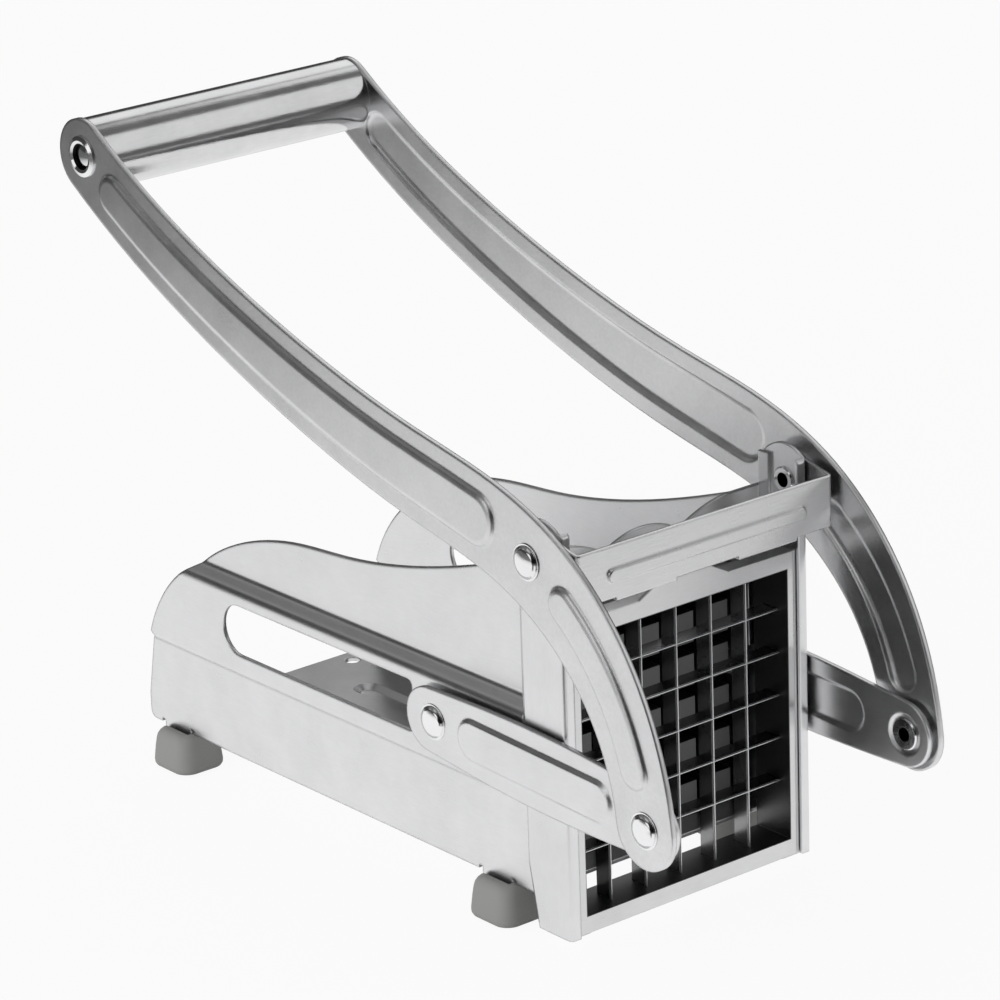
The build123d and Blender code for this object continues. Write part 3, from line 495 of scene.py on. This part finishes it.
def add_plug_cores():
    """The domed cores that close the grip's end plugs, just inside their lips."""
    profile = [(radius, PLUG_CORE_TOP - depth) for radius, depth in PLUG_CORE]
    for side, name in ((-1, "left"), (1, "right")):
        vertices, faces = turned(profile, GRIP_AXIS, side)
        add_piece(f"plug_core_{name}", vertices, faces, "lever", "rivet_steel")


def bead(vertices, faces, start, end, across):
    """Adds a bead from start to end whose width lies along the unit vector across."""
    first, count = len(vertices), len(EDGE_SECTION)
    for middle in (start, end):
        for share, back in EDGE_SECTION:
            shift = Vector(across) * share * EDGE_HALF + Vector((0, back, 0))
            vertices.append(Vector(middle) + shift)
    for corner in range(count):
        low, after = first + corner, first + (corner + 1) % count
        faces.append((low, after, after + count, low + count))
    faces.append(tuple(reversed(range(first, first + count))))
    faces.append(tuple(range(first + count, first + 2 * count)))


def add_blade_edges():
    """The blades' blunt front edges: fine rounded beads flush with the blades."""
    vertices, faces = [], []
    for step in range(BLADES):
        x = (step - BLADES // 2) * BLADE_PITCH
        start, end = (x, BLADE_FRONT, RING_IN_LOW), (x, BLADE_FRONT, RING_IN_TOP)
        bead(vertices, faces, start, end, (1, 0, 0))
    for step in range(BLADES):
        z = LOW_BLADE_Z + step * BLADE_PITCH
        start, end = (-RING_IN, BLADE_FRONT, z), (RING_IN, BLADE_FRONT, z)
        bead(vertices, faces, start, end, (0, 0, -1))
    add_piece("blade_edges", vertices, faces, "base", "blade_steel")


def rounded_plan(half_x, half_y, corner, turns=10):
    """Points round a rectangle with round corners, from its +X +Y corner on."""
    points = []
    for quarter, (sign_x, sign_y) in enumerate(((1, 1), (-1, 1), (-1, -1), (1, -1))):
        for step in range(turns + 1):
            angle = math.radians(90 * (quarter + step / turns))
            x = sign_x * (half_x - corner) + corner * math.cos(angle)
            y = sign_y * (half_y - corner) + corner * math.sin(angle)
            points.append((x, y))
    return points


def add_feet():
    """Moulded feet with soft shoulders and a slit for the plate's tab."""
    for place in ("front", "rear"):
        for side, name in ((-1, "left"), (1, "right")):
            node = f"foot_{place}_{name}"
            low, high = (Vector(corner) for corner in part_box(node))
            middle, half = (low + high) / 2, (high - low) / 2
            vertices, faces = [], []
            for height, inset, corner in FOOT_SECTIONS:
                for x, y in rounded_plan(half.x - inset, half.y - inset, corner):
                    vertices.append((middle.x + x, middle.y + y, low.z + height))
            count = len(vertices) // len(FOOT_SECTIONS)
            for ring in range(len(FOOT_SECTIONS) - 1):
                for step in range(count):
                    a, b = ring * count + step, ring * count + (step + 1) % count
                    faces.append((a, b, b + count, a + count))
            faces.append(tuple(reversed(range(count))))
            faces.append(tuple(range(len(vertices) - count, len(vertices))))
            foot = add_piece(f"{node}_pad", vertices, faces, "base", "grey_rubber")
            cut_slit(foot, side, middle.y + SLIT_BACK, high.z)
            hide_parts(node)


def cut_slit(foot, side, middle_y, top):
    """Cuts the slit that the plate's tab stands in."""
    xs = sorted(side * x for x in SLIT_X)
    ys = (middle_y - SLIT_HALF, middle_y + SLIT_HALF)
    zs = (SLIT_Z, top + SLIT_Z)
    corners = [(x, y, z) for z in zs for y in ys for x in xs]
    mesh = bpy.data.meshes.new("slit")
    mesh.from_pydata(corners, [], [
        (0, 2, 3, 1), (4, 5, 7, 6), (0, 1, 5, 4), (2, 6, 7, 3), (0, 4, 6, 2), (1, 3, 7, 5),
    ])
    cutter = bpy.data.objects.new("slit", mesh)
    bpy.context.scene.collection.objects.link(cutter)
    cut = foot.modifiers.new("slit", "BOOLEAN")
    cut.operation = "DIFFERENCE"
    cut.solver = "EXACT"
    cut.object = cutter
    shaped = bpy.data.meshes.new_from_object(
        foot.evaluated_get(bpy.context.evaluated_depsgraph_get())
    )
    foot.modifiers.clear()
    foot.data = shaped
    shaped.set_sharp_from_angle(angle=SHARP)
    bpy.data.objects.remove(cutter)


# ---- stage -----------------------------------------------------------------
def seen_and_mirrored(s):
    """Two values: 1 for camera rays, and 1 for rays from a glossy or clear surface."""
    path = s.node("LightPath").outputs
    mirrored = s.math("MAXIMUM", path["Is Glossy Ray"], path["Is Transmission Ray"])
    return path["Is Camera Ray"], mirrored


def dark_side(s, direction, limits):
    """DARK_SHARE on the dark side of a direction, and 1 away from it."""
    near = s.toward(direction, DARK_SIDE, 0.0)
    outer, inner = (math.cos(math.radians(limit)) for limit in limits)
    return s.ramp(near, 1.0, DARK_SHARE, outer, inner, smooth=True)


def room(s):
    """Brightness of the room in each direction: a dark band, grey above, and soft boxes."""
    direction = s.node("TexCoord").outputs["Generated"]
    height = s.node("SeparateXYZ", in_Vector=direction).outputs["Z"]
    low, high = (math.sin(math.radians(angle)) for angle in ROOM_RISE)
    bright = s.ramp(height, ROOM_DARK, ROOM_GREY, low, high, smooth=True)
    bright = s.both(bright, dark_side(s, direction, DARK_ROOM))
    for azimuth, elevation, radius, edge, strength in SOFT_BOXES:
        near = s.toward(direction, azimuth, elevation)
        outer, inner = (math.cos(math.radians(radius + turn)) for turn in (edge, -edge))
        box = s.ramp(near, 0.0, strength, outer, inner, smooth=True)
        bright = s.math("MAXIMUM", bright, box)
    return bright


def make_world():
    """White where it is seen, the room where it is mirrored, a plain soft light elsewhere."""
    world = bpy.data.worlds.new("world")
    bpy.context.scene.world = world
    s = Shader(world)
    seen, mirrored = seen_and_mirrored(s)
    strength = s.mix(seen, s.mix(mirrored, WORLD_LIGHT, room(s)), 1.0)
    light = s.node("Background", in_Color=WHITE, in_Strength=strength)
    s.node("OutputWorld", in_Surface=light)


def make_floor():
    """A white floor that keeps the cutter's soft shadow, and fades where it is mirrored."""
    half = FLOOR_HALF
    mesh = bpy.data.meshes.new("floor")
    corners = [(-half, -half, 0), (half, -half, 0), (half, half, 0), (-half, half, 0)]
    mesh.from_pydata(corners, [], [(0, 1, 2, 3)])
    floor = bpy.data.objects.new("floor", mesh)
    floor.location.z = -FLOOR_DROP
    bpy.context.scene.collection.objects.link(floor)
    material, s = new_material("floor_white")
    seen, mirrored = seen_and_mirrored(s)
    where = s.node("TexCoord").outputs["Object"]
    distance = s.node("VectorMath", operation="LENGTH", in_0=where).outputs["Value"]
    direction = s.node("VectorMath", operation="NORMALIZE", in_0=where)
    fade = s.ramp(distance, 1.0, TABLE_DIM, TABLE_NEAR, TABLE_FAR, smooth=True)
    beyond = s.ramp(distance, 0.0, 1.0, *DARK_FROM, smooth=True)
    side = s.mix(beyond, 1.0, dark_side(s, direction, DARK_TABLE))
    strength = s.mix(seen, s.both(fade, side), 1.0)
    diffuse = s.node("BsdfDiffuse", in_Color=FLOOR_GREY)
    glow = s.node("Emission", in_Color=WHITE, in_Strength=strength)
    share = s.ramp(s.math("MAXIMUM", seen, mirrored), 0.0, FLOOR_GLOW)
    s.node("OutputMaterial", in_Surface=s.node("MixShader", in_0=share, in_1=diffuse, in_2=glow))
    mesh.materials.append(material)


def make_lights():
    for name, at, size, power in LIGHTS:
        data = bpy.data.lights.new(name, "AREA")
        data.shape = "RECTANGLE"
        data.size, data.size_y = size
        data.energy = power
        light = bpy.data.objects.new(name, data)
        bpy.context.scene.collection.objects.link(light)
        direction = Vector(LIGHT_AIM) - Vector(at)
        light.rotation_euler = direction.to_track_quat("-Z", "Y").to_euler()
        light.location = at
        light.visible_glossy = False  # metal mirrors the room's soft boxes in its place


def main():
    place_camera()
    make_world()
    make_floor()
    make_lights()
    dress_nodes()
    add_plug_cores()
    add_blade_edges()
    add_feet()
    bpy.context.scene.view_settings.view_transform = "Standard"


main()
